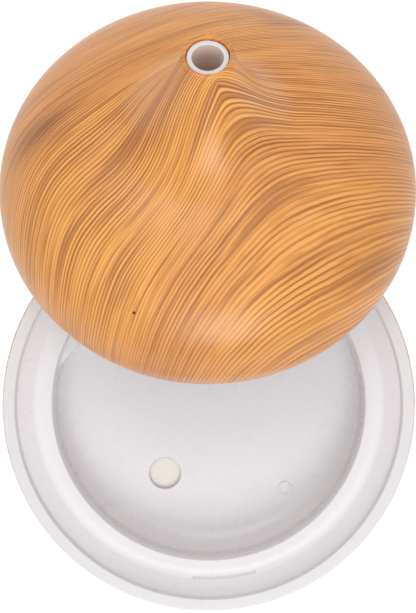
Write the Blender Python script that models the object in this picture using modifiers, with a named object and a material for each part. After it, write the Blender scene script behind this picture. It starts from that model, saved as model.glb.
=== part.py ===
"""Essential oil diffuser: an open base with its wood-grain cover leaning against the back of it.

Metres, +Z up. The origin is the centre of the bottom cover's flat underside, on the base's axis,
and +Y points to the back, where the cover leans and the power jack is.
"""
import math

import bmesh
import bpy
from mathutils import Euler, Matrix, Vector

MM = 0.001
GAP = 0.3 * MM
MERGE = 0.00005

# Base, seen from outside
RIM_RADIUS = 84.4 * MM
RIM_Z = 47.3 * MM
FOOT_HEIGHT = 2.0 * MM
BOTTOM_RADIUS = 62.0 * MM
CASING_WALL = 2.2 * MM
CASING_TOP = RIM_Z - 2.3 * MM
PLATE_RADIUS = 59.8 * MM
PLATE_THICKNESS = 2.4 * MM
BIG_STEPS = 40

# Water tank
LEDGE_RADIUS = 79.0 * MM
TANK_FLANGE_RADIUS = RIM_RADIUS - 0.65 * MM
TANK_WALL = 2.0 * MM
FLOOR_Z = 18.5 * MM
FLOOR_UNDER_Z = FLOOR_Z - TANK_WALL
MOUTH_RADIUS = 65.4 * MM
CORNER_RADIUS = 12.0 * MM
DUCT_AZIMUTH = math.radians(139)
DUCT_CHORD = 57.2 * MM
DUCT_TOP_Z = 36.0 * MM
DUCT_SLOT_ENDS = (-25.0 * MM, 7.0 * MM)
DUCT_SLOT_WIDTH = 3.4 * MM

# Ultrasonic disc, which shows through a hole in the tank floor
DISC_CENTRE = Vector((-18.9, -31.9, 0)) * MM
DISC_HOLE_RADIUS = 6.8 * MM
DISC_RADIUS = 9.6 * MM
DISC_TOP_Z = 16.6 * MM
DISC_THICKNESS = 0.8 * MM
CLAMP_RADIUS = 15.4 * MM
CLAMP_TOP_Z = DISC_TOP_Z - DISC_THICKNESS - GAP
CLAMP_THICKNESS = 1.2 * MM
CLAMP_SCREW_CIRCLE = 12.6 * MM

# Fan, under the air duct
FAN_SIZE = 40.0 * MM
FAN_HEIGHT = 10.0 * MM
FAN_DISTANCE = 34.0 * MM
FAN_BORE = 18.6 * MM
FAN_Z = 3.7 * MM
FAN_HOLE_PITCH = 32.0 * MM
BLADE_COUNT = 7

# Circuit board
BOARD_CENTRE = Vector((23.5, -4, 0)) * MM
BOARD_SIZE = Vector((44, 46, 1.6)) * MM
BOARD_Z = 5.3 * MM
BOARD_TOP = BOARD_Z + BOARD_SIZE.z

# Feet, each with a casing screw above it
FOOT_CIRCLE = 53.0 * MM
FOOT_RADIUS = 6.0 * MM
FOOT_AZIMUTHS = [math.radians(a) for a in (82, 190, 262, 350)]

# Buttons at the front
BUTTON_Z = 27.0 * MM
BUTTON_X = 9.0 * MM
BUTTON_RADIUS = 4.0 * MM
BUTTON_FRONT_Y = -82.8 * MM
BUTTON_SHOULDER_Y = -76.3 * MM
BUTTON_BACK_Y = -75.1 * MM
BUTTON_TRAVEL = 0.6 * MM
SWITCH_BOARD_Y = -71.0 * MM

# Power jack at the back
JACK_Z = 22.0 * MM
JACK_RADIUS = 3.9 * MM
NUT_BORE = 5.0 * MM
JACK_FACE_Y = 80.6 * MM
JACK_FRONT_Y = JACK_FACE_Y + 1.5 * MM

# Cover: a turned shell in its own frame, with its widest circle at height 0
COVER_RADIUS = 84.2 * MM
COVER_RIM_RADIUS = 81.0 * MM
COVER_RIM_DEPTH = 14.0 * MM
COVER_DOME_HEIGHT = 47.4 * MM
COVER_DOME_POWER = 2.24
COVER_TOP = 84.8 * MM
COVER_WALL = 1.8 * MM
SPOUT_RADIUS = 9.4 * MM
FLARE_RADIUS = 38.0 * MM
FLARE_POWER = 2.2
SPOUT_POWER = 1.25
NOZZLE_RADIUS = SPOUT_RADIUS - COVER_WALL - GAP
NOZZLE_BORE = 5.5 * MM

# Where the cover leans: its back edge stands on the table, and its rim rests across the base's rim
COVER_TILT = math.radians(25.2)
COVER_CENTRE = Vector((-0.4, 89.2, 45.8)) * MM


def new_collection(name):
    collection = bpy.data.collections.new(name)
    bpy.context.scene.collection.children.link(collection)
    return collection


def make_material(name, colour, roughness, metallic=0.0):
    material = bpy.data.materials.new(name)
    material.use_nodes = True
    shader = material.node_tree.nodes["Principled BSDF"]
    shader.inputs["Base Color"].default_value = (*colour, 1.0)
    shader.inputs["Roughness"].default_value = roughness
    shader.inputs["Metallic"].default_value = metallic
    return material


def link(thing, name, collection, material=None, parent=None):
    """Give an object its name, its place in a collection, its material and its parent."""
    thing.name = name
    thing.data.name = name
    for old in list(thing.users_collection):
        old.objects.unlink(thing)
    collection.objects.link(thing)
    if material is not None:
        thing.data.materials.clear()
        thing.data.materials.append(material)
    if parent is not None:
        thing.parent = parent
    return thing


def as_cutter(thing, name):
    link(thing, name, CUTTERS)
    thing.hide_render = True
    thing.display_type = "WIRE"
    return thing


def turned(name, outline, steps=32, wall=None, at=(0, 0, 0)):
    """Turn an outline of (radius, height) points about Z. A wall makes a shell of an open outline.

    An outline that touches the axis at both ends, or an open one for a shell, isn't closed up.
    """
    mesh = bpy.data.meshes.new(name)
    points = [(radius, 0, height) for radius, height in outline]
    edges = [(i, i + 1) for i in range(len(points) - 1)]
    if wall is None and outline[0][0] > 0:
        edges.append((len(points) - 1, 0))
    mesh.from_pydata(points, edges, [])
    thing = bpy.data.objects.new(name, mesh)
    bpy.context.scene.collection.objects.link(thing)
    thing.location = at
    screw = thing.modifiers.new("turn", "SCREW")
    screw.steps = steps
    screw.render_steps = steps
    screw.use_merge_vertices = True
    screw.merge_threshold = MERGE
    screw.use_smooth_shade = False
    if wall is not None:
        solid = thing.modifiers.new("wall", "SOLIDIFY")
        solid.thickness = wall
        solid.offset = -1.0
        solid.use_even_offset = True
    return thing


def cylinder(name, radius, low, high, centre=(0, 0), steps=32, along="Z"):
    """A cylinder between two heights along Z, or between two places along Y."""
    middle = (low + high) / 2
    place = (centre[0], centre[1], middle) if along == "Z" else (centre[0], middle, centre[1])
    tilt = (0, 0, 0) if along == "Z" else (math.radians(90), 0, 0)
    bpy.ops.mesh.primitive_cylinder_add(
        vertices=steps, radius=radius, depth=high - low, location=place, rotation=tilt)
    thing = bpy.context.active_object
    thing.name = name
    return thing


def box(name, low, high):
    low, high = Vector(low), Vector(high)
    bpy.ops.mesh.primitive_cube_add(size=1, location=(low + high) / 2)
    thing = bpy.context.active_object
    thing.name = name
    thing.data.transform(Matrix.Diagonal((*(high - low), 1.0)))
    return thing


def combine(thing, tool, operation):
    modifier = thing.modifiers.new(tool.name, "BOOLEAN")
    modifier.operation = operation
    modifier.solver = "EXACT"
    modifier.object = tool


def cut(thing, tool):
    combine(thing, as_cutter(tool, f"{thing.name}_{tool.name}"), "DIFFERENCE")


def join(thing, tool):
    combine(thing, as_cutter(tool, f"{thing.name}_{tool.name}"), "UNION")


def gather(name, sources, places):
    """One object of separate solids: a copy of the sources at each place, with the sources removed."""
    bpy.context.view_layer.update()
    depsgraph = bpy.context.evaluated_depsgraph_get()
    shape = bmesh.new()
    for place in places:
        for source in sources:
            mesh = bpy.data.meshes.new_from_object(source.evaluated_get(depsgraph))
            mesh.transform(place @ source.matrix_world)
            shape.from_mesh(mesh)
            bpy.data.meshes.remove(mesh)
    mesh = bpy.data.meshes.new(name)
    shape.to_mesh(mesh)
    shape.free()
    thing = bpy.data.objects.new(name, mesh)
    bpy.context.scene.collection.objects.link(thing)
    for source in sources:
        bpy.data.objects.remove(source)
    return thing


def copies(name, source, places, material):
    """One node at each place, all with the source's shape, numbered from 1. The source is removed."""
    for number, place in enumerate(places, 1):
        thing = source.copy()
        bpy.context.scene.collection.objects.link(thing)
        thing.name = f"{name}_{number}"
        for old in list(thing.users_collection):
            old.objects.unlink(thing)
        PARTS.objects.link(thing)
        thing.matrix_world = place @ source.matrix_basis
    source.data.name = name
    source.data.materials.clear()
    source.data.materials.append(material)
    bpy.data.objects.remove(source)


def at(x, y, z=0.0):
    return Matrix.Translation((x, y, z))


def polar(radius, azimuth):
    return (radius * math.cos(azimuth), radius * math.sin(azimuth))


def screw_outline(head, shank, under_head, tip, head_height):
    """A round-headed screw that stands head down, as the casing screws do."""
    return [(0, tip), (shank, tip), (shank, under_head), (head, under_head),
            (head, under_head - head_height), (0, under_head - head_height)]


def screw_outline_down(head, shank, under_head, tip, head_height):
    """A screw that stands head up."""
    return [(0, under_head + head_height), (head, under_head + head_height), (head, under_head),
            (shank, under_head), (shank, tip), (0, tip)]


def lead(name, points, radius=0.9 * MM):
    """A lead as a smooth tube through a few points, which are thinned to a steady step."""
    curve = bpy.data.curves.new(name, "CURVE")
    curve.dimensions = "3D"
    curve.bevel_depth = radius
    curve.bevel_resolution = 2
    curve.use_fill_caps = True
    route = smooth_route([Vector(p) * MM for p in points])
    spline = curve.splines.new("POLY")
    spline.points.add(len(route) - 1)
    for target, place in zip(spline.points, route):
        target.co = (*place, 1.0)
    thing = bpy.data.objects.new(name, curve)
    bpy.context.scene.collection.objects.link(thing)
    return thing


def smooth_route(knots, per_span=3):
    """Catmull-Rom points through the knots."""
    padded = [2 * knots[0] - knots[1], *knots, 2 * knots[-1] - knots[-2]]
    route = []
    for i in range(1, len(padded) - 2):
        before, start, end, after = padded[i - 1:i + 3]
        for step in range(per_span):
            t = step / per_span
            route.append(0.5 * (2 * start + (end - before) * t
                                + (2 * before - 5 * start + 4 * end - after) * t ** 2
                                + (3 * start - before - 3 * end + after) * t ** 3))
    route.append(knots[-1])
    return route


def arc(centre, radius, start, end, count):
    """Points of (radius, height) on an arc, with angles in degrees from straight out."""
    angles = [math.radians(start + (end - start) * i / (count - 1)) for i in range(count)]
    return [(centre[0] + radius * math.cos(a), centre[1] + radius * math.sin(a)) for a in angles]


def casing_radius(height):
    """The outer radius of the base's casing, a bowl that rounds in to its underside."""
    depth = (RIM_Z - height) / RIM_Z
    return BOTTOM_RADIUS + (RIM_RADIUS - BOTTOM_RADIUS) * (1 - min(depth, 1) ** 2.2) ** 0.6


def dome_height(radius):
    return COVER_DOME_HEIGHT * (1 - (radius / COVER_RADIUS) ** COVER_DOME_POWER) ** (1 / COVER_DOME_POWER)


def flare_height(radius):
    """How far the spout's flare stands above the dome at a radius."""
    reach = min(max((FLARE_RADIUS - radius) / (FLARE_RADIUS - SPOUT_RADIUS), 0), 1)
    rise = COVER_TOP - dome_height(SPOUT_RADIUS)
    return rise * (1 - (1 - reach ** FLARE_POWER) ** (1 / SPOUT_POWER))


def cover_outline(spout_points=6, dome_points=9, rim_points=3):
    """The cover's outside, from the top of the spout down to the rim."""
    outline = []
    for i in range(spout_points):
        reach = math.cos(math.pi / 2 * i / spout_points) ** (2 / FLARE_POWER)
        radius = FLARE_RADIUS - (FLARE_RADIUS - SPOUT_RADIUS) * reach
        outline.append((radius, dome_height(radius) + flare_height(radius)))
    start = math.acos((FLARE_RADIUS / COVER_RADIUS) ** (COVER_DOME_POWER / 2))
    for i in range(dome_points):
        angle = start * (1 - i / (dome_points - 1))
        outline.append((COVER_RADIUS * math.cos(angle) ** (2 / COVER_DOME_POWER),
                        COVER_DOME_HEIGHT * math.sin(angle) ** (2 / COVER_DOME_POWER)))
    for i in range(1, rim_points + 1):
        share = i / rim_points
        outline.append((COVER_RADIUS - (COVER_RADIUS - COVER_RIM_RADIUS) * share ** 1.5,
                        -COVER_RIM_DEPTH * share))
    return outline


def make_casing():
    lowest = GAP
    heights = [CASING_TOP, 38 * MM, 29 * MM, 21 * MM, 14 * MM, 9 * MM, 5 * MM, 2.4 * MM, 0.9 * MM]
    outside = [(casing_radius(z), z) for z in heights] + [(BOTTOM_RADIUS + MM, lowest)]
    flange_low = PLATE_THICKNESS + GAP
    flange_high = flange_low + 1.6 * MM
    rabbet = [(PLATE_RADIUS + GAP, lowest), (PLATE_RADIUS + GAP, flange_low),
              (PLATE_RADIUS - 1.2 * MM, flange_low), (PLATE_RADIUS - 1.2 * MM, flange_high)]
    inside = [(casing_radius(z) - CASING_WALL, z) for z in (5 * MM, 10 * MM, 18 * MM, 30 * MM, CASING_TOP)]
    casing = turned("base_shell", outside + rabbet + inside, BIG_STEPS)
    link(casing, "base_shell", PARTS, WOOD)
    for side in (-1, 1):
        boss = cylinder(f"boss_{side}", 2.2 * MM, -77.2 * MM, SWITCH_BOARD_Y - 1.1 * MM,
                        (side * 19 * MM, BUTTON_Z), 16, "Y")
        join(casing, boss)
        cut(casing, cylinder(f"pilot_{side}", 0.9 * MM, -75.5 * MM, -71 * MM,
                             (side * 19 * MM, BUTTON_Z), 12, "Y"))
        cut(casing, cylinder(f"button_hole_{side}", BUTTON_RADIUS + 0.4 * MM, -86 * MM, -74 * MM,
                             (side * BUTTON_X, BUTTON_Z), 24, "Y"))
    join(casing, cylinder("jack_boss", 7 * MM, 75.4 * MM, JACK_FACE_Y, (0, JACK_Z), 24, "Y"))
    cut(casing, cylinder("jack_seat", 6 * MM, JACK_FACE_Y, 86 * MM, (0, JACK_Z), 24, "Y"))
    cut(casing, cylinder("jack_hole", JACK_RADIUS + GAP, 74 * MM, 86 * MM, (0, JACK_Z), 20, "Y"))
    return casing


def tank_outline():
    """The tank's upper surface, from the middle of the floor out to the flange's edge."""
    wall_foot = MOUTH_RADIUS - 2.2 * MM
    corner = arc((wall_foot - CORNER_RADIUS, FLOOR_Z + CORNER_RADIUS), CORNER_RADIUS, -90, -8, 5)
    crown = [(MOUTH_RADIUS - 0.4 * MM, 37.6 * MM), (MOUTH_RADIUS + 0.5 * MM, 38.7 * MM),
             (MOUTH_RADIUS + 3 * MM, 39.3 * MM), (MOUTH_RADIUS + 5.6 * MM, 39.2 * MM)]
    slope = [(72.2 * MM, 39.4 * MM), (74.6 * MM, 41.2 * MM), (77.4 * MM, 43.6 * MM),
             (LEDGE_RADIUS - 0.2 * MM, 44.4 * MM)]
    land = [(LEDGE_RADIUS, 46.9 * MM), (LEDGE_RADIUS + 0.5 * MM, RIM_Z), (TANK_FLANGE_RADIUS, RIM_Z)]
    return [(0, FLOOR_Z), (26 * MM, FLOOR_Z)] + corner + crown + slope + land


def make_tank():
    tank = turned("water_tank", tank_outline(), BIG_STEPS, wall=TANK_WALL)
    link(tank, "water_tank", PARTS, WHITE)
    turn = Matrix.Rotation(DUCT_AZIMUTH, 4, "Z")
    block = cylinder("duct", MOUTH_RADIUS + 0.4 * MM, FLOOR_Z - 1 * MM, DUCT_TOP_Z, steps=BIG_STEPS)
    slab = box("duct_slab", (DUCT_CHORD, -45 * MM, 0), (80 * MM, 45 * MM, 60 * MM))
    slab.matrix_world = turn @ slab.matrix_world
    combine(block, as_cutter(slab, "duct_slab"), "INTERSECT")
    join(tank, block)
    inner = DUCT_CHORD + 2 * MM
    slot = box("duct_slot", (inner, DUCT_SLOT_ENDS[0], 14 * MM),
               (inner + DUCT_SLOT_WIDTH, DUCT_SLOT_ENDS[1], 42 * MM))
    slot.matrix_world = turn @ slot.matrix_world
    cut(tank, slot)
    x, y = DISC_CENTRE.xy
    cut(tank, cylinder("disc_seat", DISC_RADIUS + 0.6 * MM, 12 * MM, FLOOR_Z - 0.8 * MM, (x, y)))
    cut(tank, cylinder("disc_hole", DISC_HOLE_RADIUS, 16 * MM, 22 * MM, (x, y)))
    columns = [cylinder("column", 3.2 * MM, 5.3 * MM, FLOOR_Z - 0.5 * MM, polar(FOOT_CIRCLE, a), 10)
               for a in FOOT_AZIMUTHS]
    join(tank, gather("columns", columns, [Matrix()]))
    pilots = [cylinder("pilot", 1.25 * MM, 4 * MM, 15 * MM, polar(FOOT_CIRCLE, a), 8)
              for a in FOOT_AZIMUTHS]
    cut(tank, gather("pilots", pilots, [Matrix()]))
    boss = cylinder("clamp_boss", 2.4 * MM, CLAMP_TOP_Z + GAP, FLOOR_Z - 1 * MM, (0, 0), 10)
    join(tank, gather("clamp_bosses", [boss], clamp_places()))
    hole = cylinder("clamp_pilot", 1.0 * MM, 15 * MM, FLOOR_Z - 0.9 * MM, (0, 0), 8)
    cut(tank, gather("clamp_pilots", [hole], clamp_places()))
    return tank


def clamp_places():
    """Where the three clamp screws are, round the ultrasonic disc."""
    return [at(DISC_CENTRE.x + polar(CLAMP_SCREW_CIRCLE, a)[0],
               DISC_CENTRE.y + polar(CLAMP_SCREW_CIRCLE, a)[1])
            for a in (math.radians(30), math.radians(150), math.radians(270))]


def make_disc_parts():
    x, y = DISC_CENTRE.xy
    seal_low = DISC_TOP_Z + GAP
    seal_high = FLOOR_Z - 0.8 * MM - GAP
    seal = turned("disc_seal", [(9.9 * MM, seal_high), (9.9 * MM, seal_low), (7.1 * MM, seal_low),
                                (7.1 * MM, seal_high)], 32, at=(x, y, 0))
    link(seal, "disc_seal", PARTS, SILICONE)
    low = DISC_TOP_Z - DISC_THICKNESS
    disc = turned("ultrasonic_disc", [(0, DISC_TOP_Z), (DISC_RADIUS, DISC_TOP_Z), (DISC_RADIUS, low),
                                      (0, low)], 32, at=(x, y, 0))
    link(disc, "ultrasonic_disc", PARTS, CERAMIC)
    under = CLAMP_TOP_Z - CLAMP_THICKNESS
    clamp = turned("disc_clamp", [(CLAMP_RADIUS, CLAMP_TOP_Z), (CLAMP_RADIUS, under), (6 * MM, under),
                                  (6 * MM, CLAMP_TOP_Z)], 32, at=(x, y, 0))
    link(clamp, "disc_clamp", PARTS, STEEL)
    hole = cylinder("screw_hole", 1.3 * MM, under - MM, CLAMP_TOP_Z + MM, (0, 0), 12)
    holes = gather("screw_holes", [hole], clamp_places())
    cut(clamp, holes)
    screw = turned("screw", screw_outline(2.0 * MM, 0.8 * MM, under - GAP, FLOOR_Z - 1.4 * MM, 1.2 * MM), 10)
    copies("clamp_screw", screw, clamp_places(), STEEL)


def fan_frame_matrix():
    return Matrix.Rotation(DUCT_AZIMUTH, 4, "Z") @ at(FAN_DISTANCE, 0)


def fan_corners():
    half = FAN_HOLE_PITCH / 2
    return [fan_frame_matrix() @ at(sx * half, sy * half) for sx in (-1, 1) for sy in (-1, 1)]


def diagonal(corners):
    """The two opposite corners that have a screw; the other two only rest on their posts."""
    return [corners[0], corners[3]]


def make_fan():
    top = FAN_Z + FAN_HEIGHT
    half = FAN_SIZE / 2
    place = fan_frame_matrix()
    frame = box("fan_frame", (-half, -half, FAN_Z), (half, half, top))
    cut(frame, cylinder("bore", FAN_BORE, FAN_Z - MM, top + MM, steps=40))
    struts = []
    for i in range(3):
        strut = box(f"strut_{i}", (4 * MM, -1.2 * MM, FAN_Z + 0.1 * MM), (half - 0.6 * MM, 1.2 * MM,
                                                                    FAN_Z + 1.3 * MM))
        strut.matrix_world = Matrix.Rotation(math.radians(90 + 120 * i), 4, "Z") @ strut.matrix_world
        struts.append(strut)
    for strut in struts:
        join(frame, strut)
    join(frame, cylinder("motor_base", 9.0 * MM, FAN_Z + 0.05 * MM, FAN_Z + 1.5 * MM, steps=24))
    join(frame, cylinder("bearing", 2.6 * MM, FAN_Z + 0.2 * MM, FAN_Z + 4.0 * MM, steps=16))
    cut(frame, cylinder("bearing_hole", 1.3 * MM, FAN_Z + 0.8 * MM, FAN_Z + 6 * MM, steps=12))
    hole = cylinder("hole", 1.6 * MM, FAN_Z - MM, top + MM, (0, 0), 12)
    half_pitch = FAN_HOLE_PITCH / 2
    spots = [at(sx * half_pitch, sy * half_pitch) for sx in (-1, 1) for sy in (-1, 1)]
    cut(frame, gather("holes", [hole], spots))
    link(frame, "fan_frame", PARTS, BLACK)
    for tool in [m.object for m in frame.modifiers]:
        tool.matrix_world = place @ tool.matrix_world
    frame.matrix_world = place @ frame.matrix_world

    hub_low = FAN_Z + 2.2 * MM
    hub_top = top - 0.5 * MM
    cup = hub_low + 3.2 * MM
    hub = turned("fan_rotor", [(0, hub_top), (9.2 * MM, hub_top), (9.8 * MM, hub_top - 0.6 * MM),
                               (9.8 * MM, hub_low), (7.6 * MM, hub_low), (7.6 * MM, cup),
                               (1.0 * MM, cup), (1.0 * MM, FAN_Z + 1.3 * MM), (0, FAN_Z + 1.3 * MM)], 28)
    blade = box("blade", (-0.5 * MM, 8.9 * MM, -4.2 * MM), (0.5 * MM, 17.6 * MM, 4.2 * MM))
    blade.matrix_world = Matrix.Rotation(math.radians(48), 4, "Y") @ blade.matrix_world
    middle = at(0, 0, (hub_low + hub_top) / 2)
    spins = [middle @ Matrix.Rotation(2 * math.pi * i / BLADE_COUNT, 4, "Z") for i in range(BLADE_COUNT)]
    blades = gather("blades", [blade], spins)
    join(hub, blades)
    link(hub, "fan_rotor", PARTS, BLACK)
    blades.matrix_world = place
    hub.matrix_world = place

    screw = turned("screw", screw_outline_down(2.4 * MM, 1.1 * MM, top + GAP, 1.2 * MM, 1.3 * MM), 10)
    copies("fan_screw", screw, diagonal(fan_corners()), STEEL)


def board_corners():
    inset = 3.5 * MM
    half_x = BOARD_SIZE.x / 2 - inset
    half_y = BOARD_SIZE.y / 2 - inset
    return [at(BOARD_CENTRE.x + sx * half_x, BOARD_CENTRE.y + sy * half_y)
            for sx in (-1, 1) for sy in (-1, 1)]


def foot_places():
    return [at(*polar(FOOT_CIRCLE, a)) for a in FOOT_AZIMUTHS]


def make_bottom_cover():
    plate = turned("bottom_cover", [(0, PLATE_THICKNESS), (PLATE_RADIUS, PLATE_THICKNESS),
                                    (PLATE_RADIUS, 0.5 * MM), (PLATE_RADIUS - 0.5 * MM, 0), (0, 0)],
                   BIG_STEPS)
    link(plate, "bottom_cover", PARTS, WHITE)
    inside = PLATE_THICKNESS - 0.8 * MM
    join(plate, gather("screw_bosses", [cylinder("b", 4.6 * MM, inside, 5 * MM, (0, 0), 12)], foot_places()))
    join(plate, gather("board_posts", [cylinder("b", 2.4 * MM, inside, BOARD_Z - GAP, (0, 0), 8)],
                       board_corners()))
    join(plate, gather("fan_posts", [cylinder("b", 2.8 * MM, inside, FAN_Z - GAP, (0, 0), 8)],
                       fan_corners()))
    cut(plate, gather("foot_seats", [cylinder("c", FOOT_RADIUS + 0.3 * MM, -MM, 0.6 * MM, (0, 0), 16)],
                      foot_places()))
    cut(plate, gather("head_seats", [cylinder("c", 3.2 * MM, -MM, 3.0 * MM, (0, 0), 12)], foot_places()))
    cut(plate, gather("shank_holes", [cylinder("c", 1.7 * MM, 2 * MM, 7 * MM, (0, 0), 8)], foot_places()))
    cut(plate, gather("board_pilots", [cylinder("c", 1.2 * MM, 1.2 * MM, 7 * MM, (0, 0), 8)],
                      diagonal(board_corners())))
    cut(plate, gather("fan_pilots", [cylinder("c", 1.5 * MM, 0.9 * MM, 7 * MM, (0, 0), 8)],
                           diagonal(fan_corners())))
    slots = []
    for i in range(-3, 4):
        offset = i * 4.6 * MM
        reach = math.sqrt((17 * MM) ** 2 - offset ** 2)
        slot = box(f"slot_{i}", (offset - 1.3 * MM, -reach, -MM), (offset + 1.3 * MM, reach, 5 * MM))
        slots.append(slot)
    grille = gather("intake_slots", slots, [fan_frame_matrix()])
    cut(plate, grille)
    return plate


def make_feet_and_screws():
    foot = turned("foot", [(0, 0.3 * MM), (FOOT_RADIUS, 0.3 * MM), (FOOT_RADIUS, 0.5 * MM - FOOT_HEIGHT),
                           (FOOT_RADIUS - 0.5 * MM, -FOOT_HEIGHT), (0, -FOOT_HEIGHT)], 16)
    copies("rubber_foot", foot, foot_places(), RUBBER)
    screw = turned("screw", screw_outline(2.8 * MM, 1.15 * MM, 2.7 * MM, 13 * MM, 1.7 * MM), 12)
    copies("casing_screw", screw, foot_places(), STEEL)


def on_board(x, y):
    return at(BOARD_CENTRE.x + x * MM, BOARD_CENTRE.y + y * MM, BOARD_TOP + GAP)


def make_board():
    centre, half = BOARD_CENTRE, BOARD_SIZE / 2
    board = box("control_board", (centre.x - half.x, centre.y - half.y, BOARD_Z),
                (centre.x + half.x, centre.y + half.y, BOARD_TOP))
    link(board, "control_board", PARTS, BOARD_GREEN)
    cut(board, gather("post_holes", [cylinder("c", 1.6 * MM, 4 * MM, 9 * MM, (0, 0), 8)],
                               diagonal(board_corners())))
    screw = turned("screw", screw_outline_down(2.2 * MM, 0.9 * MM, BOARD_TOP + GAP, 2 * MM, 1.3 * MM), 10)
    copies("board_screw", screw, diagonal(board_corners()), STEEL)

    can = turned("can", [(0, 8 * MM), (3.4 * MM, 8 * MM), (4 * MM, 7.4 * MM), (4 * MM, 0), (0, 0)], 20)
    copies("capacitor", can, [on_board(14, 11), on_board(14, 1)], CAN_BLUE)
    drum = turned("drum", [(0, 7 * MM), (5 * MM, 7 * MM), (5 * MM, 5.8 * MM), (3.8 * MM, 5.4 * MM),
                           (3.8 * MM, 1.6 * MM), (5 * MM, 1.2 * MM), (5 * MM, 0), (0, 0)], 24)
    drum.matrix_world = on_board(1, 13)
    link(drum, "inductor", PARTS, BLACK)
    chip = box("chip", (-4.5 * MM, -3 * MM, 0), (4.5 * MM, 3 * MM, 1.5 * MM))
    chip.matrix_world = on_board(3, -3) @ chip.matrix_basis
    link(chip, "control_chip", PARTS, BLACK)

    sink = box("heatsink", (-7 * MM, -4 * MM, 0), (7 * MM, 4 * MM, 8 * MM))
    place = on_board(12, -11)
    sink.matrix_world = place @ sink.matrix_basis
    fins = [box(f"gap_{i}", ((i * 3.2 - 0.8) * MM, -6 * MM, 2 * MM), ((i * 3.2 + 0.8) * MM, 6 * MM, 10 * MM))
            for i in (-1.5, -0.5, 0.5, 1.5)]
    link(sink, "heatsink", PARTS, ALUMINIUM)
    cut(sink, gather("fin_gaps", fins, [place]))

    lamp = turned("lamp", [(0, 6 * MM), (1.2 * MM, 5.6 * MM), (2.1 * MM, 4.6 * MM), (2.5 * MM, 3.4 * MM),
                           (2.5 * MM, 1 * MM), (2.9 * MM, 1 * MM), (2.9 * MM, 0), (0, 0)], 12)
    spots = [on_board(-9, 7), on_board(-9, -6), on_board(8, 20), on_board(4, -19)]
    copies("led_lamp", lamp, spots, LAMP)

    socket = box("socket", (-2.5 * MM, -3.5 * MM, 0), (2.5 * MM, 3.5 * MM, 4.5 * MM))
    sockets = [on_board(-18, 8), on_board(-18, -8), on_board(-11, 18), on_board(-8, -18)]
    copies("board_socket", socket, sockets, WHITE)


def make_buttons():
    board = box("switch_board", (-23 * MM, SWITCH_BOARD_Y - 0.8 * MM, 20 * MM),
                (23 * MM, SWITCH_BOARD_Y + 0.8 * MM, 34 * MM))
    link(board, "switch_board", PARTS, BOARD_GREEN)
    for side in (-1, 1):
        cut(board, cylinder(f"hole_{side}", 1.2 * MM, -73 * MM, -69 * MM, (side * 19 * MM, BUTTON_Z), 12, "Y"))
    tip_y = BUTTON_BACK_Y + BUTTON_TRAVEL + 0.2 * MM
    front = SWITCH_BOARD_Y - 0.8 * MM - GAP
    for name, side in (("mist_switch", -1), ("light_switch", 1)):
        x = side * BUTTON_X
        switch = box(name, (x - 3 * MM, front - 1.6 * MM, BUTTON_Z - 3 * MM), (x + 3 * MM, front, BUTTON_Z + 3 * MM))
        link(switch, name, PARTS, BLACK)
        join(switch, cylinder("plunger", 1.6 * MM, tip_y, front - MM, (x, BUTTON_Z), 16, "Y"))
    for name, side in (("mist_button", -1), ("light_button", 1)):
        outline = [(0, 0), (BUTTON_RADIUS - 1 * MM, 0), (BUTTON_RADIUS - 0.3 * MM, -0.3 * MM),
                   (BUTTON_RADIUS, -1 * MM), (BUTTON_RADIUS, BUTTON_FRONT_Y - BUTTON_SHOULDER_Y),
                   (5.4 * MM, BUTTON_FRONT_Y - BUTTON_SHOULDER_Y), (5.4 * MM, BUTTON_FRONT_Y - BUTTON_BACK_Y),
                   (0, BUTTON_FRONT_Y - BUTTON_BACK_Y)]
        button = turned(name, outline, 20, at=(side * BUTTON_X, BUTTON_FRONT_Y, BUTTON_Z))
        button.rotation_euler = Euler((math.radians(90), 0, 0))
        link(button, name, PARTS, WHITE)
    screw = turned("screw", screw_outline_down(1.8 * MM, 0.75 * MM, 0, -3.6 * MM, 1 * MM), 10)
    back = SWITCH_BOARD_Y + 0.8 * MM + GAP
    facing = Matrix.Rotation(math.radians(-90), 4, "X")
    places = [at(side * 19 * MM, back, BUTTON_Z) @ facing for side in (-1, 1)]
    copies("switch_screw", screw, places, STEEL)


def make_jack():
    jack = turned("power_jack", [(5.4 * MM, 0), (5.4 * MM, -1.2 * MM), (JACK_RADIUS, -1.2 * MM),
                                 (JACK_RADIUS, -11.5 * MM), (0.9 * MM, -11.5 * MM), (0.9 * MM, -10 * MM),
                                 (2.8 * MM, -10 * MM), (2.8 * MM, 0)], 20, at=(0, JACK_FRONT_Y, JACK_Z))
    jack.rotation_euler = Euler((math.radians(-90), 0, 0))
    link(jack, "power_jack", PARTS, BLACK)
    pin = turned("jack_pin", [(0, -1.6 * MM), (0.6 * MM, -2.2 * MM), (0.6 * MM, -13 * MM), (0, -13 * MM)],
                 8, at=(0, JACK_FRONT_Y, JACK_Z))
    pin.rotation_euler = Euler((math.radians(-90), 0, 0))
    link(pin, "jack_pin", PARTS, STEEL)
    nut = turned("jack_nut", [(6.4 * MM, 0), (6.4 * MM, -1.8 * MM), (NUT_BORE, -1.8 * MM),
                              (NUT_BORE, 0)], 6, at=(0, 74.8 * MM, JACK_Z))
    nut.rotation_euler = Euler((math.radians(-90), 0, 0))
    link(nut, "jack_nut", PARTS, STEEL)


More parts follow.
